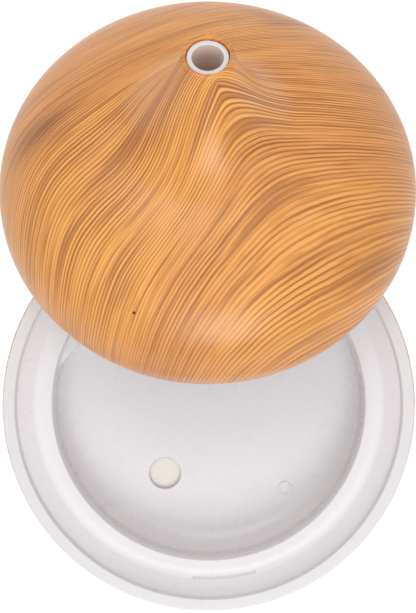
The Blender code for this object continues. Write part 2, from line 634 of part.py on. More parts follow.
def make_leads():
    """Each lead ends straight down on its socket, which stands to the side that faces the part."""
    top = (BOARD_TOP + GAP + 4.5 * MM + 0.5 * MM) / MM
    routes = {
        "fan_lead": [(-9.6, 8.4, 11.0), (-6, 8.0, 13.4), (0, 5.6, 15), (4.6, 4, top + 1.6), (5, 4, top)],
        "disc_lead": [(-18.9, -31.9, 13.4), (-17, -29, 10.4), (-10, -22, 9.5), (-1, -15, 13.4),
                      (4.6, -12.2, top + 1.6), (5, -12, top)],
        "jack_lead": [(0, 68.2, 22), (-1, 66.6, 19.4), (-2, 67, 13), (-2, 62, 9.5), (-2, 50, 9),
                      (3, 34, 9.6), (10, 20, 13.6), (12.4, 14.6, top + 1.6), (12.5, 14, top)],
        "switch_lead": [(3, -71, 19), (3.4, -70, 16), (4, -67, 12), (6, -58, 9.5), (11, -38, 9.5),
                        (15, -26, 13.4), (15.5, -22.4, top + 1.6), (15.5, -22, top)],
    }
    for name, route in routes.items():
        link(lead(name, route), name, PARTS, WIRE)


def make_cover():
    """The cover's pieces stand in its own frame, which leans back on the table and the base."""
    frame = bpy.data.objects.new("cover_frame", None)
    bpy.context.scene.collection.objects.link(frame)
    frame.location = COVER_CENTRE
    frame.rotation_euler = Euler((-COVER_TILT, 0, 0))

    shell = turned("cover_shell", cover_outline(), BIG_STEPS, wall=COVER_WALL)
    link(shell, "cover_shell", PARTS, WOOD, frame)

    def inside(height, gap=GAP):
        share = -height / COVER_RIM_DEPTH
        return COVER_RADIUS - (COVER_RADIUS - COVER_RIM_RADIUS) * share ** 1.5 - COVER_WALL - gap

    steps = (-5 * MM, -10 * MM, -COVER_RIM_DEPTH)
    lip = COVER_RIM_DEPTH + 1.2 * MM
    outer = [(inside(z), z) for z in steps] + [(inside(-COVER_RIM_DEPTH), -lip)]
    inner = [(inside(-COVER_RIM_DEPTH) - 1.6 * MM, -lip)]
    inner += [(inside(z) - 1.6 * MM, z) for z in steps[::-1]]
    ring = turned("cover_ring", outer + inner, BIG_STEPS)
    link(ring, "cover_ring", PARTS, WHITE, frame)

    top = COVER_TOP - 1.0 * MM
    nozzle = turned("mist_nozzle", [
        (6.0 * MM, top), (6.9 * MM, top), (NOZZLE_RADIUS, top - 0.5 * MM), (NOZZLE_RADIUS, 62 * MM),
        (8.2 * MM, 54 * MM), (11.5 * MM, 44 * MM), (15 * MM, 41.5 * MM), (15 * MM, 40 * MM),
        (11 * MM, 40.2 * MM), (6.8 * MM, 53 * MM), (NOZZLE_BORE, 60 * MM), (NOZZLE_BORE, top - 0.5 * MM)], 24)
    link(nozzle, "mist_nozzle", PARTS, WHITE, frame)

    guard = turned("splash_guard", [
        (0, 31.5 * MM), (7 * MM, 30.2 * MM), (12 * MM, 28 * MM), (12 * MM, 26.6 * MM), (6.6 * MM, 28.9 * MM),
        (0, 30 * MM)], 24)
    link(guard, "splash_guard", PARTS, WHITE, frame)
    post = cylinder("post", 1.1 * MM, 28.6 * MM, 40.2 * MM - 2 * GAP, (9.4 * MM, 0), 10)
    turns = [Matrix.Rotation(2 * math.pi * i / 3, 4, "Z") for i in range(3)]
    posts = gather("posts", [post], turns)
    collar = turned("collar", [(13.6 * MM, 39.6 * MM), (13.6 * MM, 38.4 * MM), (8.0 * MM, 38.4 * MM),
                               (8.0 * MM, 39.6 * MM)], 24)
    join(guard, posts)
    join(guard, collar)
    posts.parent = frame
    collar.parent = frame


for old in list(bpy.data.objects):
    bpy.data.objects.remove(old)

PARTS = new_collection("essential_oil_diffuser")
CUTTERS = new_collection("cutters")

WOOD = make_material("wood_grain", (0.78, 0.42, 0.14), 0.42)
WHITE = make_material("white_plastic", (0.86, 0.85, 0.85), 0.4)
SILICONE = make_material("silicone", (0.75, 0.75, 0.74), 0.6)
CERAMIC = make_material("ceramic", (0.93, 0.91, 0.86), 0.3)
STEEL = make_material("steel", (0.62, 0.62, 0.63), 0.3, 1.0)
ALUMINIUM = make_material("aluminium", (0.78, 0.78, 0.8), 0.4, 1.0)
BLACK = make_material("black_plastic", (0.03, 0.03, 0.03), 0.5)
RUBBER = make_material("rubber", (0.12, 0.12, 0.12), 0.8)
BOARD_GREEN = make_material("board_green", (0.03, 0.22, 0.08), 0.5)
CAN_BLUE = make_material("can_blue", (0.05, 0.08, 0.2), 0.4)
LAMP = make_material("lamp", (0.9, 0.9, 0.88), 0.2)
WIRE = make_material("wire", (0.1, 0.1, 0.1), 0.6)

make_casing()
make_tank()
make_disc_parts()
make_fan()
make_bottom_cover()
make_feet_and_screws()
make_board()
make_buttons()
make_jack()
make_leads()
make_cover()
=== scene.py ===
"""Looks of the essential oil diffuser: an open base with its wood-grain cover leaning on it.

Smooth pieces stand for the CAD solids that show, at the same sizes, and every surface gets a
procedural material. Sizes are in millimetres in the CAD model's own frame, unless a comment says
metres, and MM turns them into metres where they are used.
"""
import math

import bmesh
import bpy
from mathutils import Matrix, Vector


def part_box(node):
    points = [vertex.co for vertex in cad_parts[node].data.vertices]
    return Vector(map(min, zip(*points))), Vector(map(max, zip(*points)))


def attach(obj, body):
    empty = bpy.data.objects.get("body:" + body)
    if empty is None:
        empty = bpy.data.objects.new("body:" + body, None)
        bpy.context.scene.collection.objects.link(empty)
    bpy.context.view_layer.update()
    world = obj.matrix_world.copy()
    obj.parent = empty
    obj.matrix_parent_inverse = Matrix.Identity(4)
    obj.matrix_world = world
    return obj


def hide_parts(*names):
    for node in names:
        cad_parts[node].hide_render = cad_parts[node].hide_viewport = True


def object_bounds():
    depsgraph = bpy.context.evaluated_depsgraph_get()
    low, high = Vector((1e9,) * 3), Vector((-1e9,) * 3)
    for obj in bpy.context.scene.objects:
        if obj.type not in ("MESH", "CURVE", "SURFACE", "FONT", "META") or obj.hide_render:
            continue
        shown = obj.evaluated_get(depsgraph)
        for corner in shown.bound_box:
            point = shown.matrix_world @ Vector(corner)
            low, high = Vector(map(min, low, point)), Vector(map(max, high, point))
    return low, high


MM = 0.001
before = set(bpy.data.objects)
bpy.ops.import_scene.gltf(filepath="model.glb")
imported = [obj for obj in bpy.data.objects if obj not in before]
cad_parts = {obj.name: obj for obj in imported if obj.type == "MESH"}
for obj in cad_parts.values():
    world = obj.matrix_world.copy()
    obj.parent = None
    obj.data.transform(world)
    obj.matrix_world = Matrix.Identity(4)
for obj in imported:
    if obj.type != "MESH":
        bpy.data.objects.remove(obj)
cad_low, cad_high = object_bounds()


def placed(x, y, z, tip=0.0):
    """A place in millimetres, tipped about X by so many degrees."""
    return Matrix.Translation(Vector((x, y, z)) * MM) @ Matrix.Rotation(math.radians(tip), 4, "X")


# The base, as the CAD model has it. Height 0 is 2 mm above the table.
RIM_Z = 47.3
FLOOR_Z = 18.5
TANK_WALL = 2.0
FLANGE_RADIUS = 83.75
FLANGE_DEPTH = 2.0
MOUTH_RADIUS = 64.4
DISC_CENTRE = (-18.9, -31.9)
DISC_PLACE = Matrix.Translation((DISC_CENTRE[0] * MM, DISC_CENTRE[1] * MM, 0))
DISC_HOLE_RADIUS = 6.8
DISC_SEAT_RADIUS = 10.2
DUCT_AZIMUTH = math.radians(139)
DUCT_FACE = 57.2
DUCT_TOP = 36.0
DUCT_SLOT_ENDS = (-25, 7)  # along the flat wall
GROOVE_RADIUS = 72.2
GROOVE_Z = 39.6
GROOVE_ENDS = (-95.2, -74.4)  # degrees about Z
MARK_CENTRE = (33.0, -38.6)
CASING_TOP = RIM_Z - 2.3
CASING_RADIUS = 84.4
CASING_FOOT_RADIUS = 62.0
CASING_WALL = 2.2
BUTTON_X = 9
BUTTON_Z = 27
BOSS_X = 19
JACK_Z = 22

# The cover, upright in a frame of its own: heights are above its widest line
COVER_RADIUS = 84.2
COVER_RIM_RADIUS = 81.0
COVER_RIM_DEPTH = 14.0
COVER_RIM_POWER = 1.5
COVER_WALL = 1.8
COVER_TOP = 84.8
DOME_HEIGHT = 47.4
DOME_POWER = 2.24
SPOUT_RADIUS = 9.4
SPOUT_POWER = 1.25
FLARE_RADIUS = 38.0
FLARE_POWER = 2.2
RING_WALL = 1.6
RING_LIP = 1.2
RING_GAP = 0.3
NOZZLE_TOP = COVER_TOP - 1.0
NOZZLE_BORE = 5.5

# Where the cover leans against the base
COVER_CENTRE = (-0.4, 89.2, 45.8)
COVER_TILT = 25.2  # degrees
COVER_PLACE = placed(*COVER_CENTRE, tip=-COVER_TILT)
COVER_UPRIGHT = COVER_PLACE.inverted()

# Steps in a full turn, for pieces as wide as the base, as wide as a coin, and smaller
WIDE_STEPS = 160
COIN_STEPS = 64
SMALL_STEPS = 48


# ---------------------------------------------------------------- materials

class Shader:
    """A Principled material whose nodes are made by short calls."""

    def __init__(self, name, roughness=0.4, metallic=0.0):
        self.material = bpy.data.materials.new(name)
        self.material.use_nodes = True
        self.tree = self.material.node_tree
        self.main = self.tree.nodes["Principled BSDF"]
        self.main.inputs["Roughness"].default_value = roughness
        self.main.inputs["Metallic"].default_value = metallic
        coordinates = self.tree.nodes.new("ShaderNodeTexCoord")
        self.place = self.vector("SCALE", coordinates.outputs["Object"], scale=1 / MM)

    def put(self, socket, value):
        if isinstance(value, bpy.types.NodeSocket):
            self.tree.links.new(value, socket)
        elif value is not None:
            socket.default_value = value

    def math(self, operation, a, b=None, c=None):
        node = self.tree.nodes.new("ShaderNodeMath")
        node.operation = operation
        for socket, value in zip(node.inputs, (a, b, c)):
            self.put(socket, value)
        return node.outputs[0]

    def vector(self, operation, a, b=None, scale=None):
        node = self.tree.nodes.new("ShaderNodeVectorMath")
        node.operation = operation
        self.put(node.inputs[0], a)
        self.put(node.inputs[1], b)
        if operation == "SCALE":
            self.put(node.inputs["Scale"], scale)
        return node.outputs["Value" if operation in ("DOT_PRODUCT", "DISTANCE", "LENGTH") else "Vector"]

    def combine(self, x, y, z):
        node = self.tree.nodes.new("ShaderNodeCombineXYZ")
        for socket, value in zip(node.inputs, (x, y, z)):
            self.put(socket, value)
        return node.outputs[0]

    def noise(self, where, scale=1.0, detail=2.0):
        node = self.tree.nodes.new("ShaderNodeTexNoise")
        self.put(node.inputs["Vector"], where)
        node.inputs["Scale"].default_value = scale
        node.inputs["Detail"].default_value = detail
        return node.outputs["Fac"]

    def waver(self, where, size, detail):
        """Noise about zero, with features about this many millimetres across."""
        value = self.noise(self.vector("SCALE", where, scale=1 / size), detail=detail)
        return self.math("SUBTRACT", value, 0.5)

    def hill(self, reach):
        """A smooth hill: 1 where reach is 0, falling off as reach, a squared distance, grows."""
        return self.math("EXPONENT", self.math("MULTIPLY", reach, -1.0))

    def spread(self, value, low, high, new_low=0.0, new_high=1.0):
        node = self.tree.nodes.new("ShaderNodeMapRange")
        node.interpolation_type = "SMOOTHSTEP"
        ends = {"From Min": low, "From Max": high, "To Min": new_low, "To Max": new_high}
        for name, number in ends.items():
            node.inputs[name].default_value = number
        self.put(node.inputs["Value"], value)
        return node.outputs[0]

    def mix(self, share, a, b):
        node = self.tree.nodes.new("ShaderNodeMix")
        node.data_type = "RGBA"
        self.put(node.inputs["Factor"], share)
        for socket, value in zip([s for s in node.inputs if s.type == "RGBA"], (a, b)):
            self.put(socket, (*value, 1.0) if isinstance(value, tuple) else value)
        return [s for s in node.outputs if s.type == "RGBA"][0]

    def colour(self, value):
        self.put(self.main.inputs["Base Color"], (*value, 1.0) if isinstance(value, tuple) else value)

    def rough(self, value):
        self.put(self.main.inputs["Roughness"], value)

    def bump(self, height, strength, distance=0.05 * MM):
        node = self.tree.nodes.new("ShaderNodeBump")
        node.inputs["Strength"].default_value = strength
        node.inputs["Distance"].default_value = distance
        self.put(node.inputs["Height"], height)
        self.tree.links.new(node.outputs["Normal"], self.main.inputs["Normal"])

    def set(self, **values):
        """Set fixed values on the shader's own sockets, such as coat_weight=0.2."""
        for name, value in values.items():
            self.main.inputs[name.replace("_", " ").title().replace("Ior", "IOR")].default_value = value
        return self


def plastic(name, colour, roughness, grain=1.4, depth=0.12):
    """Moulded plastic: faint cloudiness, uneven gloss and a fine spark-eroded texture."""
    s = Shader(name)
    clouded = tuple(c * 0.94 for c in colour)
    s.colour(s.mix(s.noise(s.place, 0.03, 3), clouded, colour))
    s.rough(s.spread(s.noise(s.place, 0.12, 4), 0.3, 0.7, roughness - 0.05, roughness + 0.05))
    s.bump(s.noise(s.place, grain, 2), depth)
    return s


def tank_plastic(name):
    """Milky moulded plastic, with a painted shade line round the mouth and a darker flange."""
    s = Shader(name)
    radius = s.vector("LENGTH", s.vector("MULTIPLY", s.place, (1, 1, 0)))
    milky = s.mix(s.noise(s.place, 0.03, 3), (0.780, 0.762, 0.790), (0.815, 0.797, 0.822))
    # Painted shade: a thin dark ring just inside the mouth's edge, standing in for the shadow of the step
    # down into the tank.
    mouth_shade_starts = s.spread(radius, MOUTH_RADIUS - 0.5, MOUTH_RADIUS - 0.1)
    mouth_shade_ends = s.spread(radius, MOUTH_RADIUS, MOUTH_RADIUS + 0.5, 1.0, 0.0)
    line = s.math("MULTIPLY", mouth_shade_starts, mouth_shade_ends)
    milky = s.mix(s.math("MULTIPLY", line, 0.25), milky, (0.42, 0.37, 0.30))
    s.colour(s.mix(s.spread(radius, 78.4, 79.2), milky, (0.725, 0.707, 0.723)))
    s.rough(s.spread(s.noise(s.place, 0.12, 4), 0.3, 0.7, 0.25, 0.35))
    s.bump(s.noise(s.place, 0.9, 2), 0.03)
    return s


def metal(name, colour, roughness, along):
    """Drawn or machined metal, with fine streaks that are longest where along is smallest."""
    s = Shader(name, metallic=1.0)
    streaks = s.noise(s.vector("MULTIPLY", s.place, along), 1.0, 4)
    s.colour(s.mix(streaks, tuple(c * 0.8 for c in colour), colour))
    s.rough(s.spread(streaks, 0.3, 0.7, roughness - 0.08, roughness + 0.08))
    s.bump(streaks, 0.15)
    return s


# The grain printed on the cover, on a level plane about the cover's centre. Its lines are the level
# lines of a sum: the distance from GRAIN_CENTRE, a share of the distance from GRAIN_SPOUT, and soft
# bumps of (x, y, height, width). GRAIN_PITCH is the distance from one line to the next.
GRAIN_CENTRE = (302.0, -445.0, 0.0)
GRAIN_SPOUT = (3.3, 26.3, 0.0)
GRAIN_SPOUT_SHARE = 0.45
GRAIN_BUMPS = ((57, -54, 8.2, 30), (-72, 16, -30, 40), (-29, 2, 12.6, 23.5))
GRAIN_PITCH = 0.92

# Dark smudges on the same plane: (x, y, half-width, half-length, strength, heading in degrees)
KNOTS = ((-63, 19, 5, 13, 1.0, 35), (-70, 12, 4, 9, 1.0, 55), (33, 66, 3.4, 13, 1.0, 10),
         (22, 70, 2.6, 9, 0.9, -15), (67, -31, 3.4, 14, 0.9, 25), (55, -38, 2.2, 12, 0.7, 28),
         (-30, -44, 2.0, 9, 0.75, 60))

# A small black dot, and the middle of the part of the cover that gets no painted shade towards its edge
DOT_CENTRE = (-26.6, -51.3, 0.0)
SHADE_CENTRE = (-4.0, 5.0, 0.0)

# The grain's general direction on the base's casing, and how far its layers bend
BASE_GRAIN = (0.16, 0.1, 0.98)
BASE_BEND = 46.0

WOOD_BROAD_DARK = (0.770, 0.296, 0.066)
WOOD_BROAD_LIGHT = (0.965, 0.418, 0.078)
WOOD_FINE_LIGHT = (1.0, 0.52, 0.18)
WOOD_FINE_DARK = (0.460, 0.170, 0.045)
WOOD_THIN = (0.420, 0.145, 0.035)
WOOD_LINE = (0.290, 0.090, 0.020)
WOOD_KNOT = (0.250, 0.080, 0.025)
WOOD_EDGE_PAINTED_SHADE = (0.520, 0.200, 0.048)
WOOD_DOT = (0.02, 0.01, 0.008)


def cover_level(s, flat):
    """The cover's grain field, in millimetres across the lines."""
    level = s.vector("DISTANCE", flat, GRAIN_CENTRE)
    near = s.vector("DISTANCE", flat, GRAIN_SPOUT)
    level = s.math("ADD", level, s.math("MULTIPLY", near, GRAIN_SPOUT_SHARE))
    for x, y, height, width in GRAIN_BUMPS:
        away = s.math("DIVIDE", s.vector("DISTANCE", flat, (x, y, 0.0)), width * math.sqrt(2))
        level = s.math("MULTIPLY_ADD", s.hill(s.math("POWER", away, 2.0)), float(height), level)
    return level


def base_level(s):
    """The casing's grain field: nearly level layers, gently bent."""
    level = s.vector("DOT_PRODUCT", s.place, BASE_GRAIN)
    return s.math("MULTIPLY_ADD", s.waver(s.place, 75, 1), BASE_BEND, level)


def with_knots(s, colour, flat, thin):
    """The colour with a smudge at each knot, broken up by the thin streaks."""
    for x, y, short, long, strength, heading in KNOTS:
        from_knot = s.vector("SUBTRACT", flat, (x, y, 0.0))
        lean = math.radians(heading)
        lengthwise = s.vector("DOT_PRODUCT", from_knot, (math.cos(lean), math.sin(lean), 0))
        crosswise = s.vector("DOT_PRODUCT", from_knot, (-math.sin(lean), math.cos(lean), 0))
        a = s.math("POWER", s.math("DIVIDE", lengthwise, long), 2.0)
        b = s.math("POWER", s.math("DIVIDE", crosswise, short), 2.0)
        smudge = s.math("MULTIPLY", s.hill(s.math("ADD", a, b)), strength)
        broken = s.math("MULTIPLY", smudge, s.spread(thin, 0.35, 0.65, 0.35, 0.85))
        colour = s.mix(broken, colour, WOOD_KNOT)
    return colour


def wood(name, on_cover):
    """Printed pine grain: close dark lines and streaks, and on the cover knots and painted shade towards its
    edge.
    """
    s = Shader(name)
    if on_cover:
        level_plane = s.vector("MULTIPLY", s.place, (1, 1, 0))
        flat = s.vector("SUBTRACT", level_plane, (*COVER_CENTRE[:2], 0))
        level = cover_level(s, flat)
    else:
        flat = s.place
        level = base_level(s)
    level = s.math("MULTIPLY_ADD", s.waver(flat, 14, 2), 0.5, level)
    level = s.math("MULTIPLY_ADD", s.waver(flat, 55, 1), 1.6, level)

    def streaks(across, along, detail=2.0):
        """Noise that is drawn out along the grain."""
        shrunk = s.vector("SCALE", flat, scale=1 / along)
        level_part = s.combine(0.0, 0.0, s.math("DIVIDE", level, across))
        return s.noise(s.vector("ADD", shrunk, level_part), 1.0, detail)

    phase = s.math("ADD", s.math("DIVIDE", level, GRAIN_PITCH), streaks(7.0, 70.0, 1.0))
    wave = s.math("SINE", s.math("MULTIPLY", phase, 2 * math.pi))
    line = s.math("POWER", s.math("MULTIPLY_ADD", wave, 0.5, 0.5), 2.5)
    weight = s.spread(streaks(5.0, 50.0), 0.32, 0.66, 0.42, 1.0)
    line = s.math("MULTIPLY", line, weight)
    broad = s.spread(streaks(13.0, 100.0), 0.30, 0.70)
    fine = streaks(0.7, 14.0, 3.0)
    thin = streaks(0.85, 50.0, 1.0)

    colour = s.mix(broad, WOOD_BROAD_DARK, WOOD_BROAD_LIGHT)
    colour = s.mix(s.spread(fine, 0.3, 0.7, 0.0, 0.35), colour, WOOD_FINE_LIGHT)
    colour = s.mix(s.spread(fine, 0.30, 0.46, 0.35, 0.0), colour, WOOD_FINE_DARK)
    colour = s.mix(s.spread(thin, 0.50, 0.68, 0.0, 0.72), colour, WOOD_THIN)
    colour = s.mix(s.math("MULTIPLY", line, 0.95), colour, WOOD_LINE)
    if on_cover:
        colour = with_knots(s, colour, flat, thin)
        # Painted shade: the cover's colour darkens towards its edge, where its surface turns away from the
        # light.
        to_edge = s.vector("DISTANCE", flat, SHADE_CENTRE)
        colour = s.mix(s.spread(to_edge, 50, 80, 0.0, 0.40), colour, WOOD_EDGE_PAINTED_SHADE)
        to_dot = s.vector("DISTANCE", flat, DOT_CENTRE)
        colour = s.mix(s.spread(to_dot, 0.35, 0.75, 1.0, 0.0), colour, WOOD_DOT)
    s.colour(colour)
    s.rough(s.spread(fine, 0.3, 0.7, 0.33, 0.42))
    s.bump(s.math("SUBTRACT", fine, line), 0.10)
    return s.set(coat_weight=0.12, coat_roughness=0.3)


def board(name):
    """Green solder mask with paler tracks under it."""
    s = Shader(name)
    tracks = s.tree.nodes.new("ShaderNodeTexBrick")
    s.put(tracks.inputs["Vector"], s.vector("SCALE", s.place, scale=0.12))
    tracks.inputs["Mortar Size"].default_value = 0.03
    s.colour(s.mix(tracks.outputs["Fac"], (0.012, 0.12, 0.045), (0.04, 0.26, 0.09)))
    s.rough(s.spread(s.noise(s.place, 0.3, 2), 0.3, 0.7, 0.3, 0.5))
    s.bump(tracks.outputs["Fac"], 0.3)
    return s


def sleeve(name):
    """A capacitor's dark blue sleeve with a pale stripe down one side."""
    s = Shader(name)
    side = s.vector("DOT_PRODUCT", s.tree.nodes["Texture Coordinate"].outputs["Normal"], (1, 0, 0))
    s.colour(s.mix(s.spread(side, 0.86, 0.9), (0.02, 0.03, 0.10), (0.6, 0.6, 0.62)))
    s.rough(s.spread(s.noise(s.place, 0.4, 2), 0.3, 0.7, 0.3, 0.45))
    return s


WOOD = wood("wood_grain_cover", True)
WOOD_BASE = wood("wood_grain_base", False)
TAN = plastic("cover_inside_plastic", (0.66, 0.50, 0.33), 0.5)
WHITE = plastic("white_plastic", (0.79, 0.775, 0.785), 0.36)
TANK = tank_plastic("tank_plastic")
# Painted shade: the nozzle's bore is given a browner white for the shade inside its hole.
BORE_SHADE = plastic("nozzle_bore_painted_shade", (0.86, 0.70, 0.62), 0.4)
CERAMIC = plastic("disc_ceramic", (0.86, 0.82, 0.76), 0.25, 2.0, 0.05)
SILICONE = plastic("seal_silicone", (0.45, 0.44, 0.44), 0.55)
BLACK = plastic("black_plastic", (0.022, 0.022, 0.024), 0.45, 1.2, 0.25)
RUBBER = plastic("foot_rubber", (0.035, 0.035, 0.036), 0.75, 1.0, 0.4)
WIRE = plastic("lead_insulation", (0.04, 0.04, 0.045), 0.5)
STEEL = metal("screw_steel", (0.62, 0.61, 0.60), 0.32, (0.4, 0.4, 3.0))
ALUMINIUM = metal("heatsink_aluminium", (0.78, 0.78, 0.80), 0.38, (0.2, 3.0, 0.2))
BOARD = board("board_mask")
SLEEVE = sleeve("capacitor_sleeve")
LAMP = plastic("lamp_resin", (0.88, 0.88, 0.86), 0.15, 1.0, 0.02).set(transmission_weight=0.6, ior=1.5)

# A node's own name, or its name without the number at its end
NODE_LOOKS = {
    "bottom_cover": WHITE, "rubber_foot": RUBBER, "casing_screw": STEEL, "ultrasonic_disc": CERAMIC,
    "disc_seal": SILICONE, "disc_clamp": STEEL, "clamp_screw": STEEL, "fan_frame": BLACK,
    "fan_rotor": BLACK, "fan_screw": STEEL, "control_board": BOARD, "board_screw": STEEL,
    "capacitor": SLEEVE, "inductor": BLACK, "control_chip": BLACK, "heatsink": ALUMINIUM,
    "led_lamp": LAMP, "board_socket": WHITE, "switch_board": BOARD, "mist_switch": BLACK,
    "light_switch": BLACK, "switch_screw": STEEL, "power_jack": BLACK, "jack_pin": STEEL,
    "jack_nut": STEEL, "fan_lead": WIRE, "disc_lead": WIRE, "jack_lead": WIRE, "switch_lead": WIRE,
    "splash_guard": WHITE, "base_shell": WOOD_BASE, "water_tank": TANK, "mist_button": WHITE,
    "light_button": WHITE, "cover_shell": WOOD, "cover_ring": WHITE, "mist_nozzle": WHITE,
}


def dress_cad_nodes():
    for name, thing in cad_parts.items():
        look = NODE_LOOKS.get(name) or NODE_LOOKS[name.rsplit("_", 1)[0]]
        for slot in thing.material_slots:
            slot.material = look.material
        smooth(thing)


# ---------------------------------------------------------------- shapes

def fillet(corners, steps=6):
    """A line of (radius, height, rounding) corners, with each rounded corner drawn as a curve."""
    line = []
    for i, (r, z, rounding) in enumerate(corners):
        here = Vector((r, z))
        if rounding <= 0 or i in (0, len(corners) - 1):
            line.append(tuple(here))
            continue
        before = Vector(corners[i - 1][:2]) - here
        after = Vector(corners[i + 1][:2]) - here
        half = before.angle(after) / 2
        reach = min(rounding / math.tan(half), before.length * 0.49, after.length * 0.49)
        start = here + before.normalized() * reach
        end = here + after.normalized() * reach
        for k in range(steps + 1):
            t = k / steps
            line.append(tuple((1 - t) ** 2 * start + 2 * t * (1 - t) * here + t ** 2 * end))
    return line


def offset(line, distance):
    """The same line moved sideways, to the right of its direction."""
    moved = []
    for i, point in enumerate(line):
        ahead = Vector(line[min(i + 1, len(line) - 1)]) - Vector(line[max(i - 1, 0)])
        side = Vector((ahead.y, -ahead.x)).normalized()
        moved.append((max(point[0] + side.x * distance, 0.0), point[1] + side.y * distance))
    return moved


def add(name, shape, place=Matrix(), look=None):
    """Make a bmesh or a mesh into an object at a place, with one look."""
    mesh = shape
    if isinstance(shape, bmesh.types.BMesh):
        mesh = bpy.data.meshes.new(name)
        shape.to_mesh(mesh)
        shape.free()
    mesh.transform(place)
    thing = bpy.data.objects.new(name, mesh)
    bpy.context.scene.collection.objects.link(thing)
    if look is not None:
        mesh.materials.append(look.material)
    return thing


def turned(name, line, place=Matrix(), look=None, steps=WIDE_STEPS):
    """Turn a line of (radius, height) about Z, and close it if it doesn't end on the axis."""
    shape = bmesh.new()
    points = [shape.verts.new((r * MM, 0, z * MM)) for r, z in line]
    edges = [shape.edges.new(pair) for pair in zip(points, points[1:])]
    if line[0][0] > 0 or line[-1][0] > 0:
        edges.append(shape.edges.new((points[-1], points[0])))
    bmesh.ops.spin(shape, geom=points + edges, cent=(0, 0, 0), axis=(0, 0, 1), angle=2 * math.pi,
                   steps=steps, use_merge=True, use_duplicate=False)
    bmesh.ops.remove_doubles(shape, verts=shape.verts, dist=0.002 * MM)
    bmesh.ops.dissolve_degenerate(shape, edges=shape.edges, dist=0.0005 * MM)
    bmesh.ops.recalc_face_normals(shape, faces=shape.faces)
    return add(name, shape, place, look)


def block(name, low, high, place, rounding):
    """A box between two corners, with its edges rounded."""
    shape = bmesh.new()
    bmesh.ops.create_cube(shape, size=1.0)
    low, high = Vector(low) * MM, Vector(high) * MM
    shape.transform(Matrix.Translation((low + high) / 2) @ Matrix.Diagonal((*(high - low), 1.0)))
    bmesh.ops.bevel(shape, geom=shape.edges[:], offset=rounding * MM, segments=4, affect="EDGES",
                    profile=0.5)
    return add(name, shape, place)


def upright_rod(name, radius, low, high, x, y):
    """A round cutter between two heights."""
    line = [(0, high), (radius, high), (radius, low), (0, low)]
    return turned(name, line, placed(x, y, 0), steps=SMALL_STEPS)


def level_rod(name, radius, low, high, x, z, steps=SMALL_STEPS):
    """A round cutter between two places along Y."""
    line = [(0, high), (radius, high), (radius, low), (0, low)]
    return turned(name, line, placed(x, 0, z, tip=-90), steps=steps)


def carve(thing, tools, operation="DIFFERENCE"):
    """Cut or join tools into a thing, then remove the tools."""
    bpy.context.view_layer.update()
    for tool in tools:
        cut = thing.modifiers.new("carve", "BOOLEAN")
        cut.operation = operation
        cut.solver = "EXACT"
        cut.object = tool
        depsgraph = bpy.context.evaluated_depsgraph_get()
        mesh = bpy.data.meshes.new_from_object(thing.evaluated_get(depsgraph))
        thing.modifiers.clear()
        old = thing.data
        thing.data = mesh
        bpy.data.meshes.remove(old)
        bpy.data.objects.remove(tool)


def smooth(thing, angle=32):
    """Shade a thing smooth, except across edges sharper than an angle in degrees."""
    thing.data.shade_smooth()
    thing.data.set_sharp_from_angle(angle=math.radians(angle))


def finish_piece(thing, body, node, angle=32):
    smooth(thing, angle)
    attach(thing, body)
    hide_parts(node)


# ---------------------------------------------------------------- the cover

def dome_height(radius):
    return DOME_HEIGHT * (1 - min(radius / COVER_RADIUS, 1) ** DOME_POWER) ** (1 / DOME_POWER)


def rim_radius(depth):
    """The cover's outer radius at a depth below its widest line."""
    return COVER_RADIUS - (COVER_RADIUS - COVER_RIM_RADIUS) * (depth / COVER_RIM_DEPTH) ** COVER_RIM_POWER


def cover_line():
    """The cover's outside from the top of the spout down to the rim."""
    rise = COVER_TOP - dome_height(SPOUT_RADIUS)
    line = []
    spout_points, dome_points, rim_points = 30, 44, 10
    for i in range(spout_points):
        reach = math.cos(math.pi / 2 * i / spout_points) ** (2 / FLARE_POWER)
        radius = FLARE_RADIUS - (FLARE_RADIUS - SPOUT_RADIUS) * reach
        climb = rise * (1 - (1 - reach ** FLARE_POWER) ** (1 / SPOUT_POWER))
        line.append((radius, dome_height(radius) + climb))
    start = math.acos((FLARE_RADIUS / COVER_RADIUS) ** (DOME_POWER / 2))
    for i in range(dome_points):
        angle = start * (1 - i / (dome_points - 1))
        line.append((COVER_RADIUS * math.cos(angle) ** (2 / DOME_POWER),
                     DOME_HEIGHT * math.sin(angle) ** (2 / DOME_POWER)))
    for i in range(1, rim_points + 1):
        depth = COVER_RIM_DEPTH * i / rim_points
        line.append((rim_radius(depth), -depth))
    return line


def make_cover_shell():
    outside = cover_line()
    inside = offset(outside, COVER_WALL)
    top_r, top_z = outside[0]
    low_r, low_z = outside[-1]
    bore_r, low_inner_r = inside[0][0], inside[-1][0]
    lip = fillet([(bore_r - 0.02, top_z - 3, 0), (bore_r, top_z, 0.35), (top_r, top_z, 0.75),
                  (top_r + 0.02, top_z - 2.0, 0)], 5)
    edge = fillet([(low_r, low_z + 0.9, 0), (low_r, low_z, 0.5), (low_inner_r, low_z, 0.3),
                   (low_inner_r, low_z + 0.9, 0)], 4)
    outer = [p for p in outside if low_z + 1.0 < p[1] < top_z - 2.2]
    inner = [p for p in inside if low_z + 1.0 < p[1] < top_z - 3.4]
    shell = turned("cover_shell_grained", lip + outer + edge + inner[::-1], COVER_PLACE, WOOD)
    paint_cover_inside(shell)
    finish_piece(shell, "cover", "cover_shell", angle=40)


def paint_cover_inside(shell):
    """Plain plastic on the faces that look towards a point in the hollow, but not on the spout's lip."""
    hollow_z = -20
    shell.data.materials.append(TAN.material)
    for face in shell.data.polygons:
        centre = (COVER_UPRIGHT @ face.center) / MM
        normal = COVER_UPRIGHT.to_3x3() @ face.normal
        outward = normal.x * centre.x + normal.y * centre.y + normal.z * (centre.z - hollow_z)
        face.material_index = int(outward < 0 and centre.z < COVER_TOP - 3)


